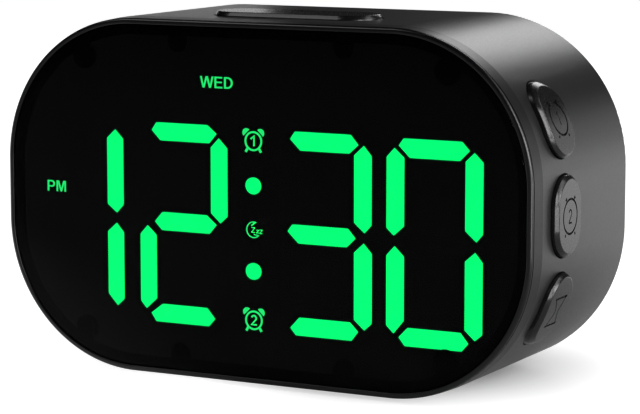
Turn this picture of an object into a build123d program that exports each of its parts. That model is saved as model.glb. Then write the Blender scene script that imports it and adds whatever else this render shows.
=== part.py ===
from build123d import *
import os
from math import asin, cos, degrees, radians, sin, sqrt, tan

# Digital desk clock with a large segment display behind a dark front lens.
# Millimetres, +Z up, the front faces -Y and the right side is +X.
# The origin is the bottom centre of the whole clock: z = 0 is the plane it stands on.

# Body
body_width = 140.0
body_height = 85.8
side_flat = 14.4
shell_depth = 55.6
wall = 2.4
band_depth = 4.3
band_inset = 0.2
back_edge_radius = 1.0
front_rabbet_depth = 1.5
front_lip = 1.05
back_rabbet_depth = 3.2
back_lip = 1.4
overrun = 1.0
half_turn = 180
quarter_turn = 90

# Clearances
fit_gap = 0.15
insert_gap = 0.05
slide_gap = 0.3
screw_gap = 0.05
part_gap = 0.1

# Front frame and lens
frame_proud = 1.1
groove_width = 0.3
bead_inset = 0.25
bead_width = 1.3
bead_radius = 0.65
bead_inner_radius = 0.12
lens_thickness = 1.8
lens_recess = 0.15
lens_edge_gap = 0.1
lens_bevel = 0.25
skirt_wall = 1.6
reflector_depth = 5.2
reflector_gap = 0.3
post_radius = 3.2
post_inset = 0.4
post_angle = 62.0
lug_radius = 2.6
lug_margin = 12.3

# Display
figures = 4
digit_gap = 4.1
colon_gap = 13.8
digits_left_margin = 8.8
digits_corner_wall = 1.9
digits_top_margin = 25.0
digits_bottom_margin = 12.8
stroke = 4.5
tip_angle = 45.0
tip_gap = 1.0
corner_tip_gap = 0.1
well_taper = 5.0
insert_depth = 1.2
dot_diameter = 4.1
dot_spacing = 20.2
icon_size = 6.4
icon_spacing = 21.35
days = 7
day_pitch = 11.25
day_width = 9.6
day_height = 3.6
days_top_margin = 14.7
half_day_width = 6.0
half_day_height = 3.6
half_day_left_margin = 13.6
half_day_rise = 7.2
led_length = 2.0
led_width = 1.25
led_height = 0.8
led_share = 0.27

# Boards, screws and switches
board_thickness = 1.6
screw_radius = 1.0
screw_head_radius = 1.9
screw_head_height = 1.4
screw_bite = 4.0
screw_drive_radius = 0.7
screw_drive_depth = 0.7
boss_radius = 2.6
switch_size = 6.2
switch_body = 3.4
switch_plunger = 0.9
switch_plunger_radius = 1.65
chip_size = 12.0
chip_height = 1.6
crystal_radius = 1.5
crystal_length = 8.0
chip_reach = 25.0
chip_rise = 8.0
header_length = 9.0
header_depth = 3.0
header_height = 4.0
ribbon_width = 7.0
ribbon_thickness = 0.5
ribbon_bend = 2.5
side_header_reach = 15.4
side_header_back = 9.0
top_header_rise = 24.0
power_ribbon_slack = 3.0
power_ribbon_runs = 4

# Side buttons, measured along the wrapped outside of the body
button_length = 19.0
button_width = 14.3
button_pitch = 22.7
button_row = 16.3
button_proud = 1.7
button_travel = 0.5
button_edge_run = 0.9
button_edge_drop = 0.85
press_gap = 0.1
flange_reach = 0.9
flange_thickness = 1.2
flange_gap = 0.25
stem_radius = 1.9
stem_length = 1.2
side_board_end_gap = 3.0
side_board_width = 22.0
side_board_offset = 5.0
side_boss_rise = 12.0
side_boss_back = 12.4

# Snooze bar on the top
snooze_length = 43.4
snooze_width = 15.4
snooze_row = 19.4
snooze_proud = 1.1
snooze_edge_run = 0.6
snooze_edge_drop = 0.5
snooze_board_drop = 7.4
snooze_board_width = 13.0
snooze_board_margin = 4.0
snooze_boss_gap = 6.9
snooze_pin_x = 16.0
snooze_pin_radius = 1.6

# Rear cover and what it carries
cover_thickness = 2.4
cover_recess = 0.8
case_screw_radius = 1.3
case_screw_head_radius = 2.6
case_screw_head_height = 1.5
case_screw_length = 12.0
grille_margin = 36.0
grille_z = 6.0
grille_hole_radius = 1.0
grille_hole_pitch = 3.4
grille_rings = 3
speaker_radius = 14.0
speaker_rim = 1.2
speaker_basket_radius = 11.0
speaker_basket_depth = 4.2
speaker_magnet_radius = 7.5
speaker_depth = 7.6
speaker_cone_radius = 11.5
speaker_cone_depth = 1.8
speaker_rib_wall = 1.2
speaker_rib_height = 2.4
power_board_x = 3.0
power_board_margin = 15.9
power_board_length = 46.0
power_board_height = 12.0
power_board_stand = 11.0
power_boss_x = 19.5
inlet_x = -9.0
inlet_body = 9.0
inlet_nose_radius = 4.0
inlet_bore_radius = 2.75
inlet_bore_depth = 9.5
inlet_pin_radius = 1.0
inlet_pin_setback = 1.0
dimmer_x = 13.0
dimmer_body_length = 9.6
dimmer_body_width = 4.6
dimmer_body_height = 5.0
dimmer_knob_length = 3.6
dimmer_knob_width = 2.8
dimmer_travel = 4.0
dimmer_dish_margin = 1.6
dimmer_dish_depth = 1.1
dimmer_rib = 0.5
dimmer_flange = 1.0
dimmer_corner = 0.6

# Backup battery and its quarter-turn door
battery_margin = 34.0
battery_z = -4.0
cell_radius = 10.0
cell_thickness = 3.2
door_radius = 12.9
door_thickness = 1.4
door_neck_radius = 10.4
door_lug_radius = 12.3
door_lug_width = 5.0
door_lug_thickness = 1.0
door_lugs = 3
coin_slot_length = 14.0
coin_slot_width = 1.8
coin_slot_depth = 0.8
door_edge = 0.3
cell_edge = 0.4
cup_wall = 1.2
contact_thickness = 0.3
contact_width = 5.0
contact_length = 14.0

# Feet
foot_radius = 4.5
foot_thickness = 1.5
foot_proud = 0.8
foot_margin = 6.3
foot_inset = 10.0
foot_edge = 0.3

# Places that follow from the sizes above
overall_depth = shell_depth + frame_proud
front_edge_y = -overall_depth / 2 + frame_proud
back_edge_y = overall_depth / 2
mid_z = foot_proud + body_height / 2
corner_radius = (body_height - side_flat) / 2
corner_x = body_width / 2 - corner_radius
corner_rise = side_flat / 2
frame_shoulder_y = front_edge_y + front_rabbet_depth
lens_front_y = front_edge_y - frame_proud + lens_recess
lens_back_y = lens_front_y + lens_thickness
lens_inset = bead_inset + bead_width + lens_edge_gap
reflector_y = lens_back_y + reflector_gap
board_y = reflector_y + reflector_depth
board_back_y = board_y + board_thickness
skirt_inset = wall + fit_gap
reflector_inset = skirt_inset + skirt_wall + fit_gap
cover_back_y = back_edge_y - cover_recess
cover_y = cover_back_y - cover_thickness
button_row_y = front_edge_y + button_row
snooze_row_y = front_edge_y + snooze_row
post_reach = corner_radius - skirt_inset - post_inset - post_radius
post_x = corner_x + post_reach * cos(radians(post_angle))
post_rise = corner_rise + post_reach * sin(radians(post_angle))
lug_x = corner_x - lug_margin
lug_rise = body_height / 2 - skirt_inset - skirt_wall - lug_radius / 2
digits_left = digits_left_margin - body_width / 2
node_drop = body_height / 2 - digits_bottom_margin - stroke / 2 - corner_rise
node_reach = corner_radius - reflector_inset - digits_corner_wall
digits_right = corner_x + sqrt(node_reach ** 2 - node_drop ** 2) + stroke / 2
digit_width = (digits_right - digits_left - 2 * digit_gap - colon_gap) / figures
digit_height = body_height - digits_top_margin - digits_bottom_margin
digits_z = (digits_bottom_margin - digits_top_margin) / 2
digit_pitch = digit_width + digit_gap
minutes_left = digits_right - digit_pitch - digit_width
colon_x = minutes_left - colon_gap / 2
hours_right = minutes_left - colon_gap
digit_rights = [digits_right, digits_right - digit_pitch, hours_right, hours_right - digit_pitch]
days_z = body_height / 2 - days_top_margin
half_day_x = half_day_left_margin - body_width / 2
snooze_boss_x = snooze_length / 2 + snooze_boss_gap
grille_x = grille_margin - body_width / 2
battery_x = body_width / 2 - battery_margin
power_board_z = power_board_margin - body_height / 2
foot_x = corner_x - foot_margin
flange_face = -wall - flange_gap
flange_back = flange_face - flange_thickness
power_board_y = cover_y - power_board_stand
case_seat_y = cover_back_y - case_screw_head_height - part_gap
cell_back_y = cover_y - 2 * part_gap - door_lug_thickness
cell_front_y = cell_back_y - cell_thickness
screw_hole_depth = screw_bite + screw_gap
side_header_y = button_row_y + side_header_back
snooze_header_y = snooze_row_y


def outline(inset):
    """Outline of the body, drawn in by an inset or, below zero, swelled."""
    return RectangleRounded(body_width - 2 * inset, body_height - 2 * inset, corner_radius - inset)


def facing(y):
    """Upright plane across the clock at y, whose local y is up and whose normal faces the front."""
    return Plane(origin=(0, y, mid_z), x_dir=(1, 0, 0), z_dir=(0, -1, 0))


def sideways(x):
    """Upright plane along the side at x, whose local x is the clock's depth."""
    return Plane(origin=(x, 0, mid_z), x_dir=(0, 1, 0), z_dir=(1, 0, 0))


def backing(y):
    """Upright plane across the clock at y whose normal faces the back, so that its local x runs to -X."""
    return Plane(origin=(0, y, mid_z), x_dir=(-1, 0, 0), z_dir=(0, 1, 0))


def level(z):
    """Level plane at z."""
    return Plane(origin=(0, 0, z), x_dir=(1, 0, 0), z_dir=(0, 0, 1))


def under(z):
    """Level plane at z whose normal points down."""
    return Plane(origin=(0, 0, z), x_dir=(1, 0, 0), z_dir=(0, 0, -1))


def slab(face, y, depth):
    """A face of the front view, made solid from y backwards."""
    return extrude(facing(y) * face, amount=-depth)


def round_slab(x, z, radius, y, depth):
    """Disc in the front view, made solid from y backwards."""
    return slab(Pos(x, z) * Circle(radius), y, depth)


def drilling(x, z, radius, y, depth):
    """Round cut that runs past both faces of a layer."""
    return round_slab(x, z, radius, y - overrun, depth + 2 * overrun)


def skin(growth):
    """The body as one solid block, grown or, below zero, shrunk all round."""
    return slab(outline(-growth), front_edge_y, shell_depth)


def group(pieces):
    """Several separate solids kept in one node."""
    return Compound([piece.solid() for piece in pieces])


def mirrored(solid):
    """The same piece on the left side."""
    return mirror(solid, about=Plane.YZ)


def screw(seat, radius, head_radius, head_height, length):
    """Pan-head screw: its head stands on the seat plane and its shank runs back from it."""
    head = extrude(seat * Circle(head_radius), amount=head_height)
    shank = extrude(seat * Circle(radius), amount=-length)
    drive = extrude(seat * Pos(0, 0, head_height) * RegularPolygon(screw_drive_radius, 6),
                    amount=-screw_drive_depth)
    return head + shank - drive


def at_posts():
    """Centres of the four long posts in the front view."""
    return [(sx * post_x, sz * post_rise) for sx in (-1, 1) for sz in (-1, 1)]


def at_lugs():
    """Centres of the four short lugs that hold the display board."""
    return [(sx * lug_x, sz * lug_rise) for sx in (-1, 1) for sz in (-1, 1)]


# Housing

def button_height(arc):
    """Height above the body's middle of a point that lies an arc length up its wrapped side."""
    if abs(arc) <= corner_rise:
        return arc
    side = 1 if arc > 0 else -1
    return side * (corner_rise + corner_radius * sin((abs(arc) - corner_rise) / corner_radius))


# Places that follow from the upper button, whose stem is the shortest
upper_rise = button_height(button_pitch) - corner_rise
upper_flange_x = corner_x + sqrt((corner_radius + flange_back) ** 2 - upper_rise ** 2)
stem_x = upper_flange_x - stem_length
side_board_x = stem_x - button_travel - press_gap - switch_plunger - switch_body
side_header_x = side_board_x - side_header_reach
chip_x = chip_reach - side_header_x


def button_face(arc, growth):
    """Outline of a side button seen from the side: a slot wrapped on the body, with half ovals as ends."""
    half = button_width / 2
    low_tip = button_height(arc - button_length / 2) - growth
    low = button_height(arc - button_length / 2 + half)
    high = button_height(arc + button_length / 2 - half)
    high_tip = button_height(arc + button_length / 2) + growth
    side = half + growth
    edges = [
        Line((-side, high), (-side, low)),
        EllipticalCenterArc((0, low), side, low - low_tip, start_angle=half_turn, arc_size=half_turn),
        Line((side, low), (side, high)),
        EllipticalCenterArc((0, high), side, high_tip - high, start_angle=0, arc_size=half_turn),
    ]
    return Pos(button_row_y, 0) * make_face(edges)


def button_arcs():
    """Arc positions of the upper, middle and lower button."""
    return [button_pitch, 0, -button_pitch]


def snooze_face(growth):
    """Outline of the snooze bar seen from above."""
    return Pos(0, snooze_row_y) * SlotOverall(snooze_length + 2 * growth, snooze_width + 2 * growth)


def foot_places():
    """Centres of the four feet in the view from above."""
    front = -overall_depth / 2 + foot_inset
    back = overall_depth / 2 - foot_inset
    return [(sx * foot_x, y) for sx in (-1, 1) for y in (front, back)]


def side_bosses():
    """Bosses on the right wall that carry the button board."""
    length = body_width / 2 - side_board_x
    spots = [sideways(side_board_x) * Pos(y, z) for y, z in side_board_places()]
    bosses = [extrude(spot * Circle(boss_radius), amount=length) & skin(-wall / 2) for spot in spots]
    holes = [extrude(spot * Circle(screw_radius + screw_gap), amount=screw_hole_depth) for spot in spots]
    return bosses, holes


def snooze_board_top():
    return mid_z + body_height / 2 - wall - snooze_board_drop


def top_bosses():
    """Bosses that hang from the top wall and carry the snooze board."""
    length = snooze_board_drop + wall
    spots = [level(snooze_board_top()) * Pos(sx * snooze_boss_x, snooze_row_y) for sx in (-1, 1)]
    bosses = [extrude(spot * Circle(boss_radius), amount=length) & skin(-wall / 2) for spot in spots]
    hole = Circle(screw_radius + screw_gap)
    holes = [extrude(spot * hole, amount=screw_hole_depth) for spot in spots]
    return bosses, holes


def main_shell():
    """One-piece tube with a slightly tapered front band, a rabbet at each end and holes for the buttons."""
    tube = slab(outline(0), front_edge_y + band_depth, shell_depth - band_depth)
    tube = fillet(tube.faces().sort_by(Axis.Y)[-1].edges(), radius=back_edge_radius)
    band_taper = degrees(asin(band_inset / sqrt(band_inset ** 2 + band_depth ** 2)))
    band = extrude(facing(front_edge_y + band_depth) * outline(0), amount=band_depth, taper=band_taper)
    shell = tube + band
    shell -= slab(outline(wall), front_edge_y - overrun, shell_depth + 2 * overrun)
    shell -= slab(outline(front_lip), front_edge_y - overrun, front_rabbet_depth + overrun)
    shell -= slab(outline(back_lip), back_edge_y - back_rabbet_depth, back_rabbet_depth + overrun)
    bosses, boss_holes = side_bosses()
    for boss in bosses:
        shell += boss
        shell += mirrored(boss)
    for boss in top_bosses()[0]:
        shell += boss
    for hole in boss_holes:
        shell -= hole
        shell -= mirrored(hole)
    for hole in top_bosses()[1]:
        shell -= hole
    for arc in button_arcs():
        hole = extrude(sideways(corner_x) * button_face(arc, slide_gap), amount=corner_radius + overrun)
        shell -= hole
        shell -= mirrored(hole)
    shell -= extrude(level(snooze_board_top() + snooze_board_drop - overrun) * snooze_face(slide_gap),
                     amount=wall + 2 * overrun)
    for x, y in foot_places():
        shell -= extrude(level(foot_proud) * Pos(x, y) * Circle(foot_radius + fit_gap),
                         amount=foot_thickness - foot_proud)
    return shell


def rubber_feet():
    """Four round pads set into the underside."""
    feet = []
    for x, y in foot_places():
        foot = extrude(level(0) * Pos(x, y) * Circle(foot_radius), amount=foot_thickness)
        feet.append(chamfer(foot.faces().sort_by(Axis.Z)[0].edges(), length=foot_edge))
    return group(feet)


# Front

def front_frame():
    """Moulded frame: a rounded bead round the lens, a ledge and skirt inside the shell, posts and lugs."""
    bead_front_y = front_edge_y - frame_proud
    bead_depth = frame_proud - groove_width
    bead = slab(outline(bead_inset), bead_front_y, bead_depth)
    bead = fillet(bead.faces().sort_by(Axis.Y)[0].edges(), radius=bead_radius)
    neck = slab(outline(front_lip + part_gap), bead_front_y + bead_depth, groove_width + front_rabbet_depth)
    skirt = slab(outline(skirt_inset), frame_shoulder_y, board_y - frame_shoulder_y)
    frame = bead + neck + skirt
    lens_seat = lens_back_y - bead_front_y
    frame -= slab(outline(bead_inset + bead_width), bead_front_y - overrun, lens_seat + overrun)
    frame -= slab(outline(skirt_inset + skirt_wall), bead_front_y, board_y - bead_front_y + overrun)
    frame = fillet(frame.faces().sort_by(Axis.Y)[0].inner_wires()[0].edges(), radius=bead_inner_radius)
    for x, z in at_posts():
        frame += round_slab(x, z, post_radius, lens_back_y, cover_y - lens_back_y)
        frame -= round_slab(x, z, case_screw_radius + screw_gap, cover_y - case_screw_length,
                            case_screw_length + overrun)
    for x, z in at_lugs():
        frame += round_slab(x, z, lug_radius, lens_back_y, board_y - lens_back_y)
        frame -= round_slab(x, z, screw_radius + screw_gap, board_y - screw_hole_depth,
                            screw_hole_depth + overrun)
    return frame


def front_lens():
    """Flat dark acrylic window with a fine bevel round its front edge."""
    lens = slab(outline(lens_inset), lens_front_y, lens_thickness)
    return chamfer(lens.faces().sort_by(Axis.Y)[0].edges(), length=lens_bevel)


def bar_shape(length, inset):
    """One display bar lying level: a long hexagon with pointed ends."""
    half_stroke = stroke / 2 - inset
    tip = length / 2 - inset / sin(radians(tip_angle))
    shoulder = tip - half_stroke / tan(radians(tip_angle))
    points = [(-tip, 0), (-shoulder, -half_stroke), (shoulder, -half_stroke),
              (tip, 0), (shoulder, half_stroke), (-shoulder, half_stroke)]
    return Polygon(*points, align=None)


def bar_places():
    """Each bar of a digit by its usual letter: centre from the digit's own centre, length and turn."""
    half_width = (digit_width - stroke) / 2
    half_height = (digit_height - stroke) / 2
    level_length = 2 * half_width - 2 * tip_gap
    upright_length = half_height - tip_gap - corner_tip_gap
    upright_middle = tip_gap + upright_length / 2
    return {
        "a": (0, half_height, level_length, 0),
        "b": (half_width, upright_middle, upright_length, quarter_turn),
        "c": (half_width, -upright_middle, upright_length, quarter_turn),
        "d": (0, -half_height, level_length, 0),
        "e": (-half_width, -upright_middle, upright_length, quarter_turn),
        "f": (-half_width, upright_middle, upright_length, quarter_turn),
        "g": (0, 0, level_length, 0),
    }


# The display reads 12:30, and its first place holds a figure one only.
fitted_bars = ["abcdefg", "abcdefg", "abcdefg", "bc"]
lit_bars = ["abcdef", "abcdg", "abdeg", "bc"]


def bars(letters_by_digit, inset):
    """Bars of the four places, right to left, as pairs of a place in the front view and a shape."""
    found = []
    for right, letters in zip(digit_rights, letters_by_digit):
        for letter in letters:
            x, z, length, turn = bar_places()[letter]
            place = Pos(right - digit_width / 2 + x, digits_z + z) * Rot(0, 0, turn)
            found.append((place, bar_shape(length, inset)))
    return found


def dots(inset):
    """The two round dots between hours and minutes."""
    dot = Circle(dot_diameter / 2 - inset)
    return [(Pos(colon_x, digits_z + s * dot_spacing / 2), dot) for s in (-1, 1)]


def day_windows(inset):
    """Seven windows for the days of the week."""
    shape = Rectangle(day_width - 2 * inset, day_height - 2 * inset)
    return [(Pos((n - (days - 1) / 2) * day_pitch, days_z), shape) for n in range(days)]


def mode_windows(inset):
    """Windows of the two alarm marks, the sleep mark and the half-day mark."""
    square = Rectangle(icon_size - 2 * inset, icon_size - 2 * inset)
    marks = [(Pos(colon_x, digits_z + n * icon_spacing), square) for n in (-1, 0, 1)]
    half_day = Rectangle(half_day_width - 2 * inset, half_day_height - 2 * inset)
    return marks + [(Pos(half_day_x, digits_z + half_day_rise), half_day)]


def all_windows(inset):
    return bars(fitted_bars, inset) + dots(inset) + day_windows(inset) + mode_windows(inset)


def display_reflector():
    """Black block behind the lens with one tapered light well for each bar, dot and mark."""
    block = slab(outline(reflector_inset), reflector_y, reflector_depth)
    for x, z in at_posts():
        block -= drilling(x, z, post_radius + fit_gap, reflector_y, reflector_depth)
    for x, z in at_lugs():
        block -= drilling(x, z, lug_radius + fit_gap, reflector_y, reflector_depth)
    wells = [extrude(facing(reflector_y) * place * shape, amount=-reflector_depth, taper=well_taper)
             for place, shape in all_windows(0)]
    return block - wells


def light_inserts(windows):
    """Milky inserts that fill the front of their light wells."""
    return group(extrude(facing(reflector_y) * place * shape, amount=-insert_depth, taper=well_taper)
                 for place, shape in windows)


def unlit_bars():
    return ["".join(letter for letter in fitted if letter not in lit)
            for fitted, lit in zip(fitted_bars, lit_bars)]


def segment_leds():
    """Light-emitting chips on the board: two behind each bar and one behind each dot and mark."""
    chip = Rectangle(led_length, led_width)
    chips = []
    for right, letters in zip(digit_rights, fitted_bars):
        for letter in letters:
            x, z, length, turn = bar_places()[letter]
            centre = Pos(right - digit_width / 2 + x, digits_z + z) * Rot(0, 0, turn)
            chips += [centre * Pos(s * length * led_share, 0) * chip for s in (-1, 1)]
    chips += [place * chip for place, _ in dots(0) + day_windows(0) + mode_windows(0)]
    return group(slab(face, board_y - led_height, led_height) for face in chips)


def display_board():
    """Circuit board behind the reflector, notched round the posts."""
    board = slab(outline(skirt_inset + fit_gap), board_y, board_thickness)
    for x, z in at_posts():
        board -= drilling(x, z, post_radius + fit_gap, board_y, board_thickness)
    for x, z in at_lugs():
        board -= drilling(x, z, screw_radius + fit_gap, board_y, board_thickness)
    return board


def display_screws():
    """Screws that hold the display board to the lugs of the front frame."""
    return group(screw(backing(board_back_y) * Pos(x, z), screw_radius, screw_head_radius, screw_head_height,
                       screw_bite + board_thickness - screw_gap) for x, z in at_lugs())


def controller_chip():
    """Flat square chip that keeps time and drives the display."""
    return slab(Pos(chip_x, chip_rise) * Rectangle(chip_size, chip_size), board_back_y, chip_height)


def quartz_crystal():
    """Small can lying on the board beside the chip."""
    axis_y = board_back_y + crystal_radius
    axis = Plane(origin=(chip_x - chip_size, axis_y, mid_z + chip_rise), x_dir=(1, 0, 0), z_dir=(0, 0, 1))
    return extrude(axis * Circle(crystal_radius), amount=crystal_length / 2, both=True)


# Buttons and their switches

def button_block(arc, growth):
    """Solid inside a surface that follows the right side of the body at the height of a button."""
    if arc:
        return skin(growth)
    return extrude(sideways(0) * Rectangle(shell_depth, body_height), amount=body_width / 2 + growth)


def side_button(arc):
    """Right-hand button: bevelled head in the shell's hole, flange behind the wall and a short stem."""
    reach = corner_radius + button_proud + overrun
    head = extrude(sideways(corner_x) * button_face(arc, 0), amount=reach)
    head = (head & button_block(arc, button_proud)) - button_block(arc, flange_back)
    outer = head.faces().sort_by(Axis.X)[-1]
    head = chamfer(outer.edges(), length=button_edge_run, length2=button_edge_drop, reference=outer)
    flange = extrude(sideways(corner_x) * button_face(arc, flange_reach), amount=reach)
    flange = (flange & button_block(arc, flange_face)) - button_block(arc, flange_back)
    stem = extrude(sideways(stem_x) * Pos(button_row_y, button_height(arc)) * Circle(stem_radius),
                   amount=body_width / 2 - stem_x)
    return head + flange + (stem & button_block(arc, flange_face))


def switch(seat):
    """Square push switch on a board: body and round plunger."""
    body = extrude(seat * Rectangle(switch_size, switch_size), amount=switch_body)
    return body + extrude(seat * Circle(switch_plunger_radius), amount=switch_body + switch_plunger)


def right_switches():
    """Three push switches, one under each side button."""
    spots = [sideways(side_board_x) * Pos(button_row_y, button_height(arc)) for arc in button_arcs()]
    return group(switch(spot) for spot in spots)


def side_board_places():
    return [(button_row_y + side_boss_back, s * side_boss_rise) for s in (-1, 1)]


def right_board():
    """Upright board behind the three side buttons, screwed to two bosses of the shell."""
    board_height = 2 * (post_rise - post_radius - side_board_end_gap)
    board = Pos(button_row_y + side_board_offset, 0) * Rectangle(side_board_width, board_height)
    for y, z in side_board_places():
        board -= Pos(y, z) * Circle(screw_radius + fit_gap)
    return extrude(sideways(side_board_x) * board, amount=-board_thickness)


def right_screws():
    """Screws of the right button board, driven from inside."""
    seat_x = side_board_x - board_thickness
    inward = Plane(origin=(seat_x, 0, mid_z), x_dir=(0, 1, 0), z_dir=(-1, 0, 0))
    return [screw(inward * Pos(y, -z), screw_radius, screw_head_radius, screw_head_height,
                  screw_bite + board_thickness - screw_gap) for y, z in side_board_places()]


def snooze_bar():
    """Long bar on the top: bevelled head, flange under the wall, stem over the switch and two guide pins."""
    top = mid_z + body_height / 2
    flange_top = top - wall - flange_gap
    head = extrude(level(flange_top - flange_thickness) * snooze_face(0),
                   amount=flange_thickness + flange_gap + wall + snooze_proud)
    outer = head.faces().sort_by(Axis.Z)[-1]
    head = chamfer(outer.edges(), length=snooze_edge_run, length2=snooze_edge_drop, reference=outer)
    flange = extrude(level(flange_top) * snooze_face(flange_reach), amount=-flange_thickness)
    stem_z = snooze_board_top() + switch_body + switch_plunger + press_gap + button_travel
    stem = extrude(level(stem_z) * Pos(0, snooze_row_y) * Circle(stem_radius), amount=flange_top - stem_z)
    bar = head + flange + stem
    for s in (-1, 1):
        pin_length = flange_top - snooze_board_top() + board_thickness + button_travel
        bar += extrude(level(flange_top) * Pos(s * snooze_pin_x, snooze_row_y) * Circle(snooze_pin_radius),
                       amount=-pin_length)
    return bar


def snooze_board():
    """Level board under the snooze bar, with holes for its guide pins and screws."""
    board_length = 2 * (snooze_boss_x + snooze_board_margin)
    board = Pos(0, snooze_row_y) * Rectangle(board_length, snooze_board_width)
    for s in (-1, 1):
        board -= Pos(s * snooze_boss_x, snooze_row_y) * Circle(screw_radius + fit_gap)
        board -= Pos(s * snooze_pin_x, snooze_row_y) * Circle(snooze_pin_radius + slide_gap)
    return extrude(level(snooze_board_top()) * board, amount=-board_thickness)


def snooze_switch():
    return switch(level(snooze_board_top()) * Pos(0, snooze_row_y))


def button_board_screws():
    """Screws of the two side boards and of the snooze board."""
    right = right_screws()
    seat = under(snooze_board_top() - board_thickness)
    top = [screw(seat * Pos(s * snooze_boss_x, -snooze_row_y), screw_radius, screw_head_radius,
                 screw_head_height, screw_bite + board_thickness - screw_gap) for s in (-1, 1)]
    return group(right + [mirrored(piece) for piece in right] + top)


# Rear cover

def hexagon_places(rings, pitch):
    """Places of a hexagonal pattern of holes."""
    places = []
    for row in range(-rings, rings + 1):
        for column in range(max(-rings, -rings - row), min(rings, rings - row) + 1):
            places.append((pitch * (column + row / 2), pitch * row * sqrt(3) / 2))
    return places


def lug_strips(width, radius, turn):
    """Plan of the bayonet lugs or of their notches: strips from the centre out to a radius."""
    strip = Pos(radius / 2, 0) * Rectangle(radius, width)
    strips = Rot(0, 0, turn) * strip
    for n in range(1, door_lugs):
        strips += Rot(0, 0, turn + 2 * half_turn * n / door_lugs) * strip
    return strips & Circle(radius)


def battery_cup():
    """Outside and inside of the round battery holder that stands on the inner face of the cover."""
    lug_room = door_lug_radius + slide_gap
    floor_y = cell_front_y - contact_thickness
    middle = Pos(battery_x, battery_z)
    outside = slab(middle * Circle(lug_room + cup_wall), floor_y - cup_wall, cover_y - floor_y + cup_wall)
    door_seat_y = cover_back_y - door_thickness - part_gap
    notches = lug_strips(door_lug_width + 2 * slide_gap, lug_room, half_turn / door_lugs)
    leaf_room = contact_thickness + 2 * slide_gap
    leaf_slot = Rectangle(contact_width + 2 * slide_gap, 2 * leaf_room)
    inside = [
        slab(middle * Circle(door_radius + slide_gap), door_seat_y, cover_back_y - door_seat_y + overrun),
        slab(middle * Circle(door_neck_radius + slide_gap), cell_back_y, cover_back_y - cell_back_y),
        slab(middle * Circle(lug_room), cell_back_y, cover_y - cell_back_y),
        slab(middle * Circle(cell_radius + slide_gap), floor_y, cell_back_y - floor_y),
        slab(middle * notches, cell_back_y, cover_back_y - cell_back_y),
        slab(middle * Pos(0, cell_radius) * leaf_slot, cell_front_y, cell_back_y - cell_front_y),
    ]
    return outside, inside


def rear_cover():
    """Flat cover in the shell's back rabbet, with battery cup, sound holes, bosses and the openings."""
    cover = slab(outline(back_lip + fit_gap), cover_y, cover_thickness)
    rib = Circle(speaker_radius + fit_gap + speaker_rib_wall) - Circle(speaker_radius + fit_gap)
    cover += slab(Pos(grille_x, grille_z) * rib, cover_y - speaker_rib_height, speaker_rib_height)
    cup_outside, cup_inside = battery_cup()
    cover += cup_outside
    for s in (-1, 1):
        x = power_board_x + s * power_boss_x
        cover += round_slab(x, power_board_z, boss_radius, power_board_y, power_board_stand)
        cover -= round_slab(x, power_board_z, screw_radius + screw_gap, power_board_y, screw_hole_depth)
    for cut in cup_inside:
        cover -= cut
    holes = [Pos(grille_x + x, grille_z + z) * Circle(grille_hole_radius)
             for x, z in hexagon_places(grille_rings, grille_hole_pitch)]
    holes += [Pos(inlet_x, power_board_z) * Circle(inlet_nose_radius + fit_gap)]
    holes += [Pos(x, z) * Circle(case_screw_radius + fit_gap) for x, z in at_posts()]
    holes += [Pos(dimmer_x, power_board_z) * dimmer_slot(slide_gap, 0)]
    cover -= [slab(hole, cover_y - overrun, cover_thickness + 2 * overrun) for hole in holes]
    for x, z in at_posts():
        cover -= round_slab(x, z, case_screw_head_radius + fit_gap, case_seat_y,
                            case_screw_head_height + overrun)
    cover -= slab(Pos(dimmer_x, power_board_z) * dimmer_slot(slide_gap, dimmer_dish_margin),
                  cover_back_y - dimmer_dish_depth, dimmer_dish_depth + overrun)
    return cover


def dimmer_slot(gap, margin):
    """Outline of the slot that the dimmer knob slides in, or of the dish round it."""
    length = dimmer_knob_length + dimmer_travel + 2 * (gap + margin)
    return RectangleRounded(length, dimmer_knob_width + 2 * (gap + margin), dimmer_corner + margin)


def case_screws():
    """Four screws through the rear cover into the posts of the front frame, which clamp the shell."""
    length = case_seat_y - cover_y + case_screw_length - part_gap
    return group(screw(backing(case_seat_y) * Pos(x, z), case_screw_radius, case_screw_head_radius,
                       case_screw_head_height, length) for x, z in at_posts())


def speaker():
    """Small round loudspeaker: rim against the cover, dished cone, basket and magnet."""
    section = Plane(origin=(grille_x, cover_y, mid_z + grille_z), x_dir=(1, 0, 0), z_dir=(0, 0, 1))
    points = [(0, -speaker_depth), (speaker_magnet_radius, -speaker_depth),
              (speaker_magnet_radius, -speaker_basket_depth), (speaker_basket_radius, -speaker_rim),
              (speaker_radius, -speaker_rim), (speaker_radius, 0), (speaker_cone_radius, 0),
              (speaker_magnet_radius / 2, -speaker_cone_depth), (0, -speaker_cone_depth / 2)]
    profile = Polygon(*points, align=None)
    axis = Axis((grille_x, cover_y, mid_z + grille_z), (0, 1, 0))
    return revolve(section * profile, axis=axis)


def power_board():
    """Board that carries the power inlet and the dimmer switch, behind the cover."""
    board = Pos(power_board_x, power_board_z) * Rectangle(power_board_length, power_board_height)
    for s in (-1, 1):
        board -= Pos(power_board_x + s * power_boss_x, power_board_z) * Circle(screw_radius + fit_gap)
    return slab(board, power_board_y - board_thickness, board_thickness)


def power_board_screws():
    seat = facing(power_board_y - board_thickness)
    return group(screw(seat * Pos(power_board_x + s * power_boss_x, power_board_z), screw_radius,
                       screw_head_radius, screw_head_height, screw_bite + board_thickness - screw_gap)
                 for s in (-1, 1))


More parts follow.
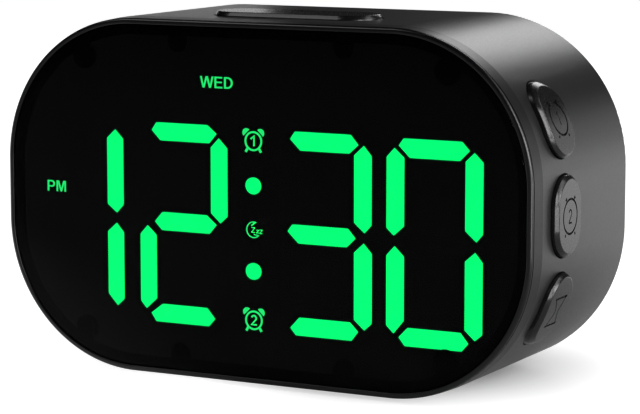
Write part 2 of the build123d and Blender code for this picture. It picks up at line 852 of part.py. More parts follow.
def power_inlet():
    """Round low-voltage inlet: square body on the board, nose through the cover, bore and centre pin."""
    body = slab(Pos(inlet_x, power_board_z) * Rectangle(inlet_body, inlet_body), power_board_y,
                power_board_stand - part_gap)
    nose = round_slab(inlet_x, power_board_z, inlet_nose_radius, cover_y - overrun,
                      overrun + cover_thickness)
    bore = round_slab(inlet_x, power_board_z, inlet_bore_radius, cover_back_y - inlet_bore_depth,
                      inlet_bore_depth + overrun)
    pin = round_slab(inlet_x, power_board_z, inlet_pin_radius, cover_back_y - inlet_bore_depth,
                     inlet_bore_depth - inlet_pin_setback)
    return body + nose - bore + pin


def dimmer_switch():
    """Body of the slide switch for the display's brightness."""
    body = Pos(dimmer_x, power_board_z) * Rectangle(dimmer_body_length, dimmer_body_width)
    return slab(body, power_board_y, dimmer_body_height)


def dimmer_knob():
    """Sliding knob at its first stop: stem, retaining flange and a ribbed tip flush with the cover."""
    x = dimmer_x - dimmer_travel / 2
    foot_y = power_board_y + dimmer_body_height + part_gap
    flange_y = cover_y - part_gap - dimmer_flange
    knob = slab(Pos(x, power_board_z) * Rectangle(dimmer_knob_length, dimmer_knob_width), foot_y,
                cover_back_y - foot_y)
    knob += slab(Pos(x, power_board_z) * Rectangle(dimmer_knob_length + 2 * dimmer_flange,
                                                   dimmer_knob_width + 2 * dimmer_flange),
                 flange_y, dimmer_flange)
    for n in (-1, 0, 1):
        knob -= slab(Pos(x + 2 * n * dimmer_rib, power_board_z) * Rectangle(dimmer_rib, dimmer_knob_width),
                     cover_back_y - dimmer_rib, dimmer_rib)
    return knob


def battery_door():
    """Round door with a coin slot, a neck through the cover and bayonet lugs behind its ledge."""
    lug_y = cover_y - part_gap - door_lug_thickness
    door = round_slab(battery_x, battery_z, door_radius, cover_back_y - door_thickness, door_thickness)
    door = chamfer(door.faces().sort_by(Axis.Y)[-1].edges(), length=door_edge)
    door += round_slab(battery_x, battery_z, door_neck_radius, lug_y, cover_back_y - door_thickness - lug_y)
    door += slab(Pos(battery_x, battery_z) * lug_strips(door_lug_width, door_lug_radius, 0), lug_y,
                 door_lug_thickness)
    slot = Pos(battery_x, battery_z) * SlotOverall(coin_slot_length, coin_slot_width)
    return door - slab(slot, cover_back_y - coin_slot_depth, coin_slot_depth)


def backup_battery():
    """Flat round cell in the cup."""
    cell = round_slab(battery_x, battery_z, cell_radius, cell_front_y, cell_thickness)
    return chamfer(cell.faces().sort_by(Axis.Y)[0].edges(), length=cell_edge)


def battery_contacts():
    """Spring strip under the cell and a leaf against its side."""
    strip = slab(Pos(battery_x, battery_z) * Rectangle(contact_length, contact_width),
                 cell_front_y - contact_thickness, contact_thickness)
    leaf_rise = cell_radius + part_gap + contact_thickness / 2
    leaf = slab(Pos(battery_x, battery_z + leaf_rise) * Rectangle(contact_width, contact_thickness),
                cell_front_y, cell_thickness)
    return group([strip, leaf])


# Headers and ribbon cables between the boards

def board_headers():
    """Sockets that the ribbon cables plug into."""
    upright = Rectangle(header_depth, header_length)
    lying = Rectangle(header_length, header_depth)
    lower = Pos(power_board_x, power_board_z) * lying
    faces = [Pos(s * side_header_x, 0) * upright for s in (-1, 1)] + [Pos(0, top_header_rise) * lying, lower]
    headers = [slab(face, board_back_y, header_height) for face in faces]
    headers += [slab(lower, power_board_y - board_thickness - header_height, header_height)]
    right = extrude(sideways(side_board_x - board_thickness) * Pos(side_header_y, 0)
                    * Rectangle(header_depth, header_length), amount=-header_height)
    headers += [right, mirrored(right)]
    headers += [extrude(level(snooze_board_top() - board_thickness) * Pos(0, snooze_header_y)
                        * Rectangle(header_length, header_depth), amount=-header_height)]
    return group(headers)


def ribbon(plane, points):
    """Flat cable that follows straight runs and round bends, centred on the plane across its width."""
    path = FilletPolyline(*points, radius=ribbon_bend)
    return extrude(plane * trace(path, ribbon_thickness), amount=ribbon_width / 2, both=True)


def right_ribbon():
    """From the display board to the right button board."""
    start_y = board_back_y + header_height
    end_x = side_board_x - board_thickness - header_height
    return ribbon(level(mid_z), [(side_header_x, start_y), (side_header_x, side_header_y),
                                 (end_x, side_header_y)])


def snooze_ribbon():
    """From the display board up to the snooze board."""
    start_y = board_back_y + header_height
    end_z = snooze_board_top() - board_thickness - header_height - mid_z
    return ribbon(sideways(0), [(start_y, top_header_rise), (snooze_header_y, top_header_rise),
                                (snooze_header_y, end_z)])


def power_ribbon():
    """From the display board back to the power board, with a little slack."""
    start_y = board_back_y + header_height
    end_y = power_board_y - board_thickness - header_height
    run = (end_y - start_y) / power_ribbon_runs
    return ribbon(sideways(power_board_x), [(start_y, power_board_z), (start_y + run, power_board_z),
                                            (start_y + 2 * run, power_board_z + power_ribbon_slack),
                                            (end_y - run, power_board_z), (end_y, power_board_z)])


def build():
    """Every node of the clock by name."""
    right = [side_button(arc) for arc in button_arcs()]
    return {
        "main_shell": main_shell(),
        "rubber_feet": rubber_feet(),
        "front_frame": front_frame(),
        "front_lens": front_lens(),
        "display_reflector": display_reflector(),
        "lit_bars": light_inserts(bars(lit_bars, insert_gap)),
        "unlit_bars": light_inserts(bars(unlit_bars(), insert_gap)),
        "colon_dots": light_inserts(dots(insert_gap)),
        "day_lights": light_inserts(day_windows(insert_gap)),
        "mode_lights": light_inserts(mode_windows(insert_gap)),
        "display_board": display_board(),
        "segment_leds": segment_leds(),
        "display_screws": display_screws(),
        "controller_chip": controller_chip(),
        "quartz_crystal": quartz_crystal(),
        "snooze_bar": snooze_bar(),
        "snooze_board": snooze_board(),
        "snooze_switch": snooze_switch(),
        "alarm_one_button": right[0],
        "alarm_two_button": right[1],
        "timer_button": right[2],
        "plus_button": mirrored(right[0]),
        "set_button": mirrored(right[1]),
        "minus_button": mirrored(right[2]),
        "right_board": right_board(),
        "left_board": mirrored(right_board()),
        "right_switches": right_switches(),
        "left_switches": mirrored(right_switches()),
        "button_board_screws": button_board_screws(),
        "rear_cover": rear_cover(),
        "case_screws": case_screws(),
        "speaker": speaker(),
        "power_board": power_board(),
        "power_board_screws": power_board_screws(),
        "power_inlet": power_inlet(),
        "dimmer_switch": dimmer_switch(),
        "dimmer_knob": dimmer_knob(),
        "battery_door": battery_door(),
        "backup_battery": backup_battery(),
        "battery_contacts": battery_contacts(),
        "board_headers": board_headers(),
        "right_ribbon": right_ribbon(),
        "left_ribbon": mirrored(right_ribbon()),
        "snooze_ribbon": snooze_ribbon(),
        "power_ribbon": power_ribbon(),
    }


os.makedirs("parts", exist_ok=True)
for name, shape in build().items():
    export_step(shape, f"parts/{name}.step")
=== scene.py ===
from contextlib import contextmanager
from math import ceil, cos, pi, radians, sin, sqrt

import bmesh
import bpy
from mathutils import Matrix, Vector


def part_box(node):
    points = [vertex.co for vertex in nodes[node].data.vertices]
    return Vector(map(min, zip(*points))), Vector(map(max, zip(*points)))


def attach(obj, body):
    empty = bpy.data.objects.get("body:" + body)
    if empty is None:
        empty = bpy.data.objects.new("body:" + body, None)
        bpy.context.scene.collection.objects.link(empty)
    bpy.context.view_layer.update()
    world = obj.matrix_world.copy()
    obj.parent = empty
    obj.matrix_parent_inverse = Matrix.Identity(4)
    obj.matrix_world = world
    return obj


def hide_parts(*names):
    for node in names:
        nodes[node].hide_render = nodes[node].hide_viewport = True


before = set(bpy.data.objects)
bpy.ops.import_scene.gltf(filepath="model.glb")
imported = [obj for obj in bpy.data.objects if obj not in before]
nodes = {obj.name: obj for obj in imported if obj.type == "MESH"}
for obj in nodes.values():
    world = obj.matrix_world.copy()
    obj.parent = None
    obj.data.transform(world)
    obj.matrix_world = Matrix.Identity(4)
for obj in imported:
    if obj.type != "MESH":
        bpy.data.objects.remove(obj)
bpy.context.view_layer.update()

# Desk clock with a green segment display behind a smoked window.
# Metres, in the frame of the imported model: the front faces -Y, +Z is up.

mm = 0.001

# Sizes that the new pieces share with the solids

half_body = 70 * mm
corner_radius = 35.7 * mm
corner_rise = 7.2 * mm
corner_x = half_body - corner_radius
mid_z = 43.7 * mm
body_top = 86.6 * mm
band_back_y = -22.95 * mm
front_edge_y = -27.25 * mm
bead_back_y = -27.5 * mm
window_y = -26.1 * mm
colon_x = -1.8 * mm


# Camera, where the photograph was taken from

camera_place = (298.9 * mm, -563.65 * mm, 129.5 * mm)
camera_tilt = radians(90 - 8.004)
camera_swing = radians(27.804)
camera_focal = 148.93
camera_sensor = 36.0


def make_camera():
    """The photograph's view: from the right, a little above the clock."""
    data = bpy.data.cameras.new("camera")
    data.lens = camera_focal
    data.sensor_width = camera_sensor
    camera = bpy.data.objects.new("camera", data)
    camera.location = camera_place
    camera.rotation_euler = (camera_tilt, 0, camera_swing)
    bpy.context.scene.collection.objects.link(camera)
    bpy.context.scene.camera = camera


make_camera()
bpy.context.scene.view_settings.view_transform = "Standard"


# Colours and shader nodes

def linear(hex_colour):
    """An sRGB hex colour as the linear colour that shaders take."""
    channels = [int(hex_colour[i:i + 2], 16) / 255 for i in (1, 3, 5)]
    return [c / 12.92 if c <= 0.04045 else ((c + 0.055) / 1.055) ** 2.4 for c in channels] + [1.0]


def add(tree, kind, inputs=None, **settings):
    """Adds a shader node with its settings, and gives its inputs values or other nodes' outputs."""
    made = tree.nodes.new("ShaderNode" + kind)
    for name, value in settings.items():
        setattr(made, name, value)
    for name, value in (inputs or {}).items():
        if isinstance(value, bpy.types.NodeSocket):
            tree.links.new(value, made.inputs[name])
        else:
            made.inputs[name].default_value = value
    return made


def start(name, **constants):
    """A new material: its principled shader with its constant settings, and object coordinates."""
    made = bpy.data.materials.new(name)
    made.use_nodes = True
    tree = made.node_tree
    tree.nodes.clear()
    shader = add(tree, "BsdfPrincipled", constants)
    add(tree, "OutputMaterial", {"Surface": shader.outputs["BSDF"]})
    return made, tree, shader, add(tree, "TexCoord").outputs["Object"]


def feed(tree, shader, **sockets):
    """Links outputs to the shader's inputs, whose names are written with _ for a space."""
    for name, output in sockets.items():
        tree.links.new(output, shader.inputs[name.replace("_", " ")])


def per(size):
    """Scale of a pattern whose features have this size, in metres."""
    return 1 / size


def blend_colours(tree, factor, dark, light):
    """Colour that runs from one sRGB hex colour to another with a factor."""
    ramp = add(tree, "ValToRGB", {"Fac": factor})
    ramp.color_ramp.elements[0].color = linear(dark)
    ramp.color_ramp.elements[1].color = linear(light)
    return ramp.outputs["Color"]


# Stage: white table, dark room, and soft boxes to the right, in front, behind, above and low on the left

floor_radius = 20
floor_sides = 96
# Painted reflection: the floor glows for reflections only behind the clock and far to its right.
painted_reflection_behind = (-0.03, 0.06)
painted_reflection_right = (0.28, 0.4)
# Painted shade on the floor: its glow runs from the first level, next to a point beside the clock's foot, to
# the second, far away.
painted_shade_glow = 0.02
far_glow = 0.97
painted_shade_middle = (22 * mm, 15 * mm, 0)
painted_shade_start = 16 * mm
painted_shade_reach = 56 * mm
room_glow = 0.01
clock_middle = (0, 0, 45 * mm)


def make_floor():
    """White table. Besides the lamps' real shadow it has a painted shade: its glow falls off towards a point
    beside the clock's foot. For reflections it glows only behind and far to the right, a painted reflection,
    so the clock mirrors it as bright there and as dark in front."""
    bpy.ops.mesh.primitive_circle_add(vertices=floor_sides, radius=floor_radius, fill_type="NGON",
                                      location=(0, 0, 0))
    floor = bpy.context.object
    floor.name = "floor"
    made = bpy.data.materials.new("white_matt_laminate")
    made.use_nodes = True
    tree = made.node_tree
    tree.nodes.clear()
    path = add(tree, "LightPath")
    place = add(tree, "TexCoord").outputs["Object"]
    split = add(tree, "SeparateXYZ", {"Vector": place})
    behind = add(tree, "Math", {0: split.outputs["Y"], 1: split.outputs["X"]}, operation="SUBTRACT")
    behind = add(tree, "MapRange", {"Value": behind.outputs["Value"], "From Min": painted_reflection_behind[0],
                                    "From Max": painted_reflection_behind[1]})
    right = add(tree, "MapRange", {"Value": split.outputs["X"], "From Min": painted_reflection_right[0],
                                   "From Max": painted_reflection_right[1]})
    bright = add(tree, "Math", {0: behind.outputs["Result"], 1: right.outputs["Result"]},
                 operation="MAXIMUM")
    # Painted reflection: glossy rays see the floor glow only behind and far to the right.
    painted_reflection = add(tree, "Math", {0: path.outputs["Is Glossy Ray"], 1: bright.outputs["Value"]},
                   operation="MULTIPLY")
    seen = add(tree, "Math", {0: path.outputs["Is Camera Ray"], 1: path.outputs["Is Transmission Ray"]},
               operation="MAXIMUM")
    # Painted shade: the glow that the camera sees falls off towards a point beside the clock's foot.
    away = add(tree, "VectorMath", {0: place, 1: painted_shade_middle}, operation="DISTANCE")
    level = add(tree, "MapRange", {"Value": away.outputs["Value"], "To Max": far_glow, "To Min": painted_shade_glow,
                                   "From Min": painted_shade_start, "From Max": painted_shade_reach})
    shown = add(tree, "Math", {0: seen.outputs["Value"], 1: level.outputs["Result"]}, operation="MULTIPLY")
    glow = add(tree, "Math", {0: shown.outputs["Value"], 1: painted_reflection.outputs["Value"]}, operation="MAXIMUM")
    paint = add(tree, "BsdfDiffuse", {"Color": linear("#C8C8C8")})
    lift = add(tree, "Emission", {"Color": linear("#FFFFFF"), "Strength": glow.outputs["Value"]})
    both = add(tree, "AddShader", {0: paint.outputs["BSDF"], 1: lift.outputs["Emission"]})
    add(tree, "OutputMaterial", {"Surface": both.outputs["Shader"]})
    floor.data.materials.append(made)


def make_room():
    """Room: white where the camera looks at it, almost dark for the light on the clock."""
    world = bpy.data.worlds.new("room")
    bpy.context.scene.world = world
    world.use_nodes = True
    tree = world.node_tree
    tree.nodes.clear()
    seen = add(tree, "LightPath").outputs["Is Camera Ray"]
    level = add(tree, "MapRange", {"Value": seen, "To Min": room_glow, "To Max": 1.0})
    background = add(tree, "Background", {"Color": linear("#FFFFFF"), "Strength": level.outputs["Result"]})
    add(tree, "OutputWorld", {"Surface": background.outputs["Background"]})


def soft_box(name, place, width, height, watts):
    """Rectangular soft lamp that faces the middle of the clock."""
    data = bpy.data.lights.new(name, "AREA")
    data.shape = "RECTANGLE"
    data.size = width
    data.size_y = height
    data.energy = watts
    lamp = bpy.data.objects.new(name, data)
    lamp.location = place
    lamp.rotation_euler = (Vector(clock_middle) - Vector(place)).to_track_quat("-Z", "Y").to_euler()
    lamp.visible_camera = False
    bpy.context.scene.collection.objects.link(lamp)


# Each soft box: its name, its place, its width and height, and its watts
soft_boxes = (
    ("right", (1.2, 0.1, 0.3), 0.5, 0.5, 8),
    ("right_above", (1.2, 0.1, 0.8), 0.4, 0.4, 1.5),
    ("right_high", (0.8, 0.4, 0.9), 0.5, 0.5, 1.7),
    ("front_right", (1.05, -0.52, 0.46), 0.4, 0.7, 7.5),
    ("low_right", (0.3, -0.135, 0.016), 0.14, 0.03, 0.11),
    ("behind", (-0.075, 0.8, 0.485), 0.28, 0.34, 1.05),
    ("side_card", (0.52, 1.1, 0.17), 0.5, 0.3, 0.36),
    ("low_left", (-0.2, 0.2, 0.118), 0.14, 0.05, 0.022),
    ("above_left", (-0.5, -0.45, 0.8), 0.4, 0.4, 1.2),
)
make_floor()
make_room()
for box in soft_boxes:
    soft_box(*box)


# Finishes

grain_low, grain_high = 0.3, 0.7
band_blur = 0.06 * mm
# Painted shade on the shell's lip beside the bezel: its reflections fade out within these distances of the
# front edge.
painted_lip_shade_start, painted_lip_shade_end = 0.02 * mm, 0.2 * mm
# Painted shade in the groove behind the bezel's bead: its reflections fade out over this depth.
painted_groove_shade = 0.1 * mm
conductor_pitch = 1.27 * mm


def vary(tree, grain, low, high):
    """Roughness that follows a grain between two levels."""
    return add(tree, "MapRange", {"Value": grain, "From Min": grain_low, "From Max": grain_high,
                                  "To Min": low, "To Max": high}).outputs["Result"]


def moulded(name, dark, light, roughness, grain, depth, gloss=0.5):
    """Plastic or rubber as its mould left it: one colour, with a fine grain that softens reflections."""
    made, tree, shader, place = start(name, IOR=1.5, **{"Specular IOR Level": gloss})
    fine = add(tree, "TexNoise", {"Vector": place, "Scale": per(grain), "Detail": 3.0, "Roughness": 0.6})
    fine = fine.outputs["Fac"]
    rough = vary(tree, fine, roughness - 0.04, roughness + 0.04)
    bump = add(tree, "Bump", {"Height": fine, "Strength": 0.35, "Distance": depth})
    feed(tree, shader, Base_Color=blend_colours(tree, fine, dark, light), Roughness=rough,
         Normal=bump.outputs["Normal"])
    return made


def spark_eroded_abs():
    """Shell of ABS with a sparkling spark-eroded grain, a smoother, darker band beside the window, and a
    painted shade on the lip beside the bezel, whose reflections are turned off there."""
    made, tree, shader, place = start("spark_eroded_black_abs", IOR=1.5)
    depth_way = add(tree, "SeparateXYZ", {"Vector": place}).outputs["Y"]
    grained = add(tree, "MapRange", {"Value": depth_way, "From Min": band_back_y - band_blur,
                                     "From Max": band_back_y + band_blur}).outputs["Result"]
    fine = add(tree, "TexNoise", {"Vector": place, "Scale": per(0.45 * mm), "Detail": 2.0, "Roughness": 0.7})
    fine = fine.outputs["Fac"]
    level = add(tree, "MapRange", {"Value": grained, "To Min": 0.3, "To Max": 0.5})
    # Painted shade: reflections turned off on the lip next to the bezel.
    painted_lip_shade = add(tree, "MapRange", {"Value": depth_way, "From Min": front_edge_y + painted_lip_shade_start,
                                 "From Max": front_edge_y + painted_lip_shade_end})
    level = add(tree, "Math", {0: level.outputs["Result"], 1: painted_lip_shade.outputs["Result"]}, operation="MULTIPLY")
    height = add(tree, "Math", {0: fine, 1: grained}, operation="MULTIPLY")
    bump = add(tree, "Bump", {"Height": height.outputs["Value"], "Strength": 0.5, "Distance": 0.05 * mm})
    feed(tree, shader, Base_Color=blend_colours(tree, fine, "#111112", "#1B1B1C"),
         Roughness=vary(tree, fine, 0.31, 0.39), Specular_IOR_Level=level.outputs["Value"],
         Normal=bump.outputs["Normal"])
    return made


def polished_abs():
    """Polished ABS of the bezel, with a painted shade in the groove behind its bead, whose reflections are
    turned off there.
    """
    made, tree, shader, place = start("polished_black_abs", IOR=1.5)
    depth_way = add(tree, "SeparateXYZ", {"Vector": place}).outputs["Y"]
    # Painted shade: reflections fade out into the groove behind the bead.
    lit = add(tree, "MapRange", {"Value": depth_way, "From Min": bead_back_y - painted_groove_shade,
                                 "From Max": bead_back_y, "To Min": 0.5, "To Max": 0.0})
    fine = add(tree, "TexNoise", {"Vector": place, "Scale": per(0.8 * mm), "Detail": 2.0}).outputs["Fac"]
    rough = add(tree, "MapRange", {"Value": fine, "To Min": 0.18, "To Max": 0.3})
    feed(tree, shader, Base_Color=blend_colours(tree, fine, "#070708", "#0B0B0C"),
         Roughness=rough.outputs["Result"], Specular_IOR_Level=lit.outputs["Result"])
    return made


def smoked_acrylic():
    """Cast acrylic sheet, smoked, with weak reflections: almost black until light comes through it."""
    made, tree, shader, place = start("smoked_acrylic", IOR=1.49, Roughness=0.0,
                                      **{"Specular Tint": linear("#585858"), "Transmission Weight": 1.0})
    cloud = add(tree, "TexNoise", {"Vector": place, "Scale": per(40 * mm), "Detail": 1.0})
    feed(tree, shader, Base_Color=blend_colours(tree, cloud.outputs["Fac"], "#727272", "#767676"))
    return made


def glowing_diffuser(name, strength, dark, light):
    """Milky polystyrene lit from behind by green chips: an even, slightly bluish green."""
    made, tree, shader, place = start(name, Roughness=0.5, **{"Emission Strength": strength})
    cloud = add(tree, "TexNoise", {"Vector": place, "Scale": per(4 * mm), "Detail": 1.0})
    colour = blend_colours(tree, cloud.outputs["Fac"], dark, light)
    feed(tree, shader, Base_Color=colour, Emission_Color=colour)
    return made


def solder_masked_board():
    """Glass epoxy under green solder mask, with tracks that show as paler lines."""
    made, tree, shader, place = start("green_solder_mask", IOR=1.5, Roughness=0.35)
    cells = add(tree, "TexVoronoi", {"Vector": place, "Scale": per(3 * mm), "Randomness": 0.7},
                feature="DISTANCE_TO_EDGE")
    track = add(tree, "MapRange", {"Value": cells.outputs["Distance"], "From Min": 0.06, "From Max": 0.1,
                                   "To Min": 1.0, "To Max": 0.0}).outputs["Result"]
    bump = add(tree, "Bump", {"Height": track, "Strength": 0.4, "Distance": 0.035 * mm})
    feed(tree, shader, Base_Color=blend_colours(tree, track, "#0D3B20", "#1C6536"),
         Normal=bump.outputs["Normal"])
    return made


def metal(name, dark, light, roughness, grain):
    """Metal sheet or wire with its finish: slightly uneven in colour and gloss from rolling and plating."""
    made, tree, shader, place = start(name, Metallic=1.0)
    worn = add(tree, "TexNoise", {"Vector": place, "Scale": per(grain), "Detail": 4.0, "Roughness": 0.6})
    worn = worn.outputs["Fac"]
    rough = vary(tree, worn, roughness - 0.08, roughness + 0.08)
    bump = add(tree, "Bump", {"Height": worn, "Strength": 0.2, "Distance": 0.01 * mm})
    feed(tree, shader, Base_Color=blend_colours(tree, worn, dark, light), Roughness=rough,
         Normal=bump.outputs["Normal"])
    return made


def round_two_part(name, middle, edge, inner, outer, inner_metal, grain):
    """Round part about an axis along Y: one material out to an edge radius, another beyond it."""
    made, tree, shader, place = start(name, IOR=1.5)
    off = add(tree, "VectorMath", {0: place, 1: (middle[0], 0, middle[1])}, operation="SUBTRACT")
    off = add(tree, "VectorMath", {0: off.outputs["Vector"], 1: (1, 0, 1)}, operation="MULTIPLY")
    away = add(tree, "VectorMath", {0: off.outputs["Vector"]}, operation="LENGTH")
    beyond = add(tree, "Math", {0: away.outputs["Value"], 1: edge}, operation="GREATER_THAN")
    beyond = beyond.outputs["Value"]
    fine = add(tree, "TexNoise", {"Vector": place, "Scale": per(grain), "Detail": 3.0}).outputs["Fac"]
    colour = add(tree, "Mix", {"Factor": beyond}, data_type="RGBA")
    tree.links.new(blend_colours(tree, fine, *inner), colour.inputs[6])
    tree.links.new(blend_colours(tree, fine, *outer), colour.inputs[7])
    metallic = add(tree, "MapRange", {"Value": beyond, "To Min": float(inner_metal),
                                      "To Max": float(not inner_metal)})
    rough = add(tree, "MapRange", {"Value": metallic.outputs["Result"], "To Min": 0.6, "To Max": 0.35})
    bump = add(tree, "Bump", {"Height": fine, "Strength": 0.3, "Distance": 0.02 * mm})
    feed(tree, shader, Metallic=metallic.outputs["Result"], Roughness=rough.outputs["Result"],
         Normal=bump.outputs["Normal"])
    tree.links.new(colour.outputs[2], shader.inputs["Base Color"])
    return made


def ribbon_cable(name, across):
    """Grey PVC flat cable: one ridge for each conductor, side by side along an axis, with a painted shade
    that darkens the valleys between them.
    """
    made, tree, shader, place = start(name, IOR=1.5, Roughness=0.45)
    ridges = add(tree, "TexWave", {"Vector": place, "Scale": pi / 10 / conductor_pitch},
                 bands_direction=across).outputs["Fac"]
    bump = add(tree, "Bump", {"Height": ridges, "Strength": 0.8, "Distance": 0.2 * mm})
    # Painted shade: the colour follows the ridges, darker in the valleys and paler on the tops.
    feed(tree, shader, Base_Color=blend_colours(tree, ridges, "#5E6064", "#8A8D92"),
         Normal=bump.outputs["Normal"])
    return made


inlet_middle = (-9 * mm, mid_z - 27 * mm)
inlet_pin_radius = 1.2 * mm
speaker_middle = (-34 * mm, mid_z + 6 * mm)
speaker_cone_share = 0.8
speaker_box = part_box("speaker")
speaker_radius = (speaker_box[1][0] - speaker_box[0][0]) / 2

shell_abs = spark_eroded_abs()
frame_abs = polished_abs()
button_abs = moulded("satin_black_abs", "#0E0E0F", "#131314", 0.25, 0.4 * mm, 0.001 * mm)
reflector_ps = moulded("matt_black_polystyrene", "#020202", "#040404", 0.75, 0.5 * mm, 0.01 * mm, 0.05)
# Painted shade: the milky diffusers of unlit bars and windows are coloured almost black, as they sit dark
# behind the window.
painted_dark_ps = moulded("milky_polystyrene_painted_dark", "#050505", "#060606", 0.7, 0.5 * mm, 0.01 * mm, 0.05)
lit_ps = glowing_diffuser("lit_milky_polystyrene", 6.5, "#00FD6E", "#00FF73")
legend_ps = glowing_diffuser("lit_printed_polystyrene", 4.6, "#20FD78", "#28FF80")
lens_acrylic = smoked_acrylic()
board_fr4 = solder_masked_board()
chip_epoxy = moulded("moulded_black_epoxy", "#0B0B0C", "#161617", 0.5, 0.15 * mm, 0.01 * mm)
led_package = moulded("moulded_white_polyamide", "#D2D0C6", "#E6E4DC", 0.45, 0.3 * mm, 0.01 * mm)
black_nylon = moulded("moulded_black_nylon", "#0A0A0B", "#151516", 0.5, 0.3 * mm, 0.015 * mm)
natural_nylon = moulded("moulded_natural_nylon", "#CDC7AE", "#DDD8C2", 0.5, 0.3 * mm, 0.015 * mm)
foot_rubber = moulded("moulded_black_rubber", "#0A0A0A", "#141414", 0.8, 0.4 * mm, 0.04 * mm, 0.3)
nickel_can = metal("drawn_nickel_silver", "#B4B2AA", "#CFCDC6", 0.3, 1.5 * mm)
coin_steel = metal("stamped_stainless_steel", "#A9A9A7", "#C6C6C4", 0.3, 2 * mm)
spring_bronze = metal("nickel_plated_bronze", "#B3AE9C", "#CCC7B6", 0.35, 1 * mm)
black_steel = metal("blackened_steel", "#1A1A1C", "#2B2B2E", 0.4, 0.6 * mm)
inlet_finish = round_two_part("black_nylon_round_nickel_pin", inlet_middle, inlet_pin_radius,
                              ("#B9B8B2", "#D2D1CB"), ("#0A0A0B", "#151516"), True, 0.3 * mm)
speaker_finish = round_two_part("pressed_paper_cone_in_steel_basket", speaker_middle,
                                speaker_cone_share * speaker_radius,
                                ("#0E0D0C", "#1E1C1A"), ("#8E8E8C", "#A9A9A7"), False, 0.5 * mm)
upright_ribbon = ribbon_cable("grey_pvc_ribbon_upright", "Z")
level_ribbon = ribbon_cable("grey_pvc_ribbon_level", "X")


# Modelling steps that the pieces share

merge_gap = 0.001 * mm
sharp_angle = radians(28)
blunt_corner = 0.55
flat_weight = 90
nearly_along = 0.9


def select_only(*pieces):
    """Selects these pieces and nothing else, the first one active."""
    bpy.ops.object.select_all(action="DESELECT")
    for piece in pieces:
        piece.select_set(True)
    bpy.context.view_layer.objects.active = pieces[0]


def settle(piece):
    """Puts a piece's place, turn and size into its mesh."""
    select_only(piece)
    bpy.ops.object.transform_apply(location=True, rotation=True, scale=True)
    return piece


@contextmanager
def editing(piece):
    """Edit mode on one piece, with nothing in it selected."""
    select_only(piece)
    bpy.ops.object.mode_set(mode="EDIT")
    bpy.ops.mesh.select_all(action="DESELECT")
    yield
    bpy.ops.object.mode_set(mode="OBJECT")


def pick_points(piece, wanted):
    """In edit mode, selects the points whose place passes a test."""
    bpy.ops.mesh.select_mode(type="VERT")
    bpy.ops.mesh.select_all(action="DESELECT")
    for point in bmesh.from_edit_mesh(piece.data).verts:
        point.select_set(wanted(point.co))
    bmesh.update_edit_mesh(piece.data)


def pick_edges(piece, wanted):
    """In edit mode, selects the edges whose two ends pass a test."""
    bpy.ops.mesh.select_mode(type="EDGE")
    bpy.ops.mesh.select_all(action="DESELECT")
    for edge in bmesh.from_edit_mesh(piece.data).edges:
        edge.select_set(wanted(edge.verts[0].co, edge.verts[1].co))
    bmesh.update_edit_mesh(piece.data)


def pick_faces(piece, wanted):
    """In edit mode, selects the faces whose middle and normal pass a test."""
    bpy.ops.mesh.select_mode(type="FACE")
    bpy.ops.mesh.select_all(action="DESELECT")
    for face in bmesh.from_edit_mesh(piece.data).faces:
        face.select_set(wanted(face.calc_center_median(), face.normal))
    bmesh.update_edit_mesh(piece.data)


def combine(piece, other, operation):
    """Adds another piece to this one or cuts it away, and removes the other."""
    change = piece.modifiers.new("combine", "BOOLEAN")
    change.operation = operation
    change.solver = "EXACT"
    change.object = other
    select_only(piece)
    bpy.ops.object.modifier_apply(modifier=change.name)
    bpy.data.objects.remove(other)


def join(pieces):
    """Makes several pieces one object."""
    select_only(*pieces)
    bpy.ops.object.join()
    return bpy.context.object


def dress(piece, name, body, slot, finish, *replaced):
    """Names a finished piece, smooths its gentle edges, and gives it its finish and body. Its slot is not
    used.
    """
    piece.name = name
    piece.data.name = name
    select_only(piece)
    bpy.ops.object.shade_smooth_by_angle(angle=sharp_angle)
    flats = piece.modifiers.new("flats", "WEIGHTED_NORMAL")
    flats.keep_sharp = True
    flats.weight = flat_weight
    bpy.ops.object.modifier_apply(modifier=flats.name)
    piece.data.materials.clear()
    piece.data.materials.append(finish)
    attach(piece, body)
    for node in replaced:
        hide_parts(node)


# Line drawings for signs, flat on XY

def oval_points(centre, across, up, first, last, steps=24):
    """Points along an ellipse between two angles in degrees."""
    turns = [radians(first + (last - first) * n / steps) for n in range(steps + 1)]
    return [(centre[0] + across * cos(turn), centre[1] + up * sin(turn)) for turn in turns]


def arc_points(centre, radius, first, last, steps=24):
    """Points along an arc between two angles in degrees."""
    return oval_points(centre, radius, radius, first, last, steps)


def spline(curve, points, closed):
    """Adds a line of straight parts to a curve."""
    line = curve.splines.new("POLY")
    line.points.add(len(points) - 1)
    for point, (x, y) in zip(line.points, points):
        point.co = (x, y, 0, 1)
    line.use_cyclic_u = closed


def stroke(points, width, closed=False):
    """Round line of even width through points."""
    curve = bpy.data.curves.new("stroke", "CURVE")
    curve.dimensions = "3D"
    curve.bevel_depth = width / 2
    curve.bevel_resolution = 2
    curve.use_fill_caps = True
    spline(curve, points, closed)
    return meshed(curve)


def plate(outlines, thickness=0.1):
    """Flat filled shape inside closed outlines, one inside another being a hole."""
    curve = bpy.data.curves.new("plate", "CURVE")
    curve.dimensions = "2D"
    curve.fill_mode = "BOTH"
    curve.extrude = thickness / 2
    for points in outlines:
        spline(curve, points, True)
    return meshed(curve)


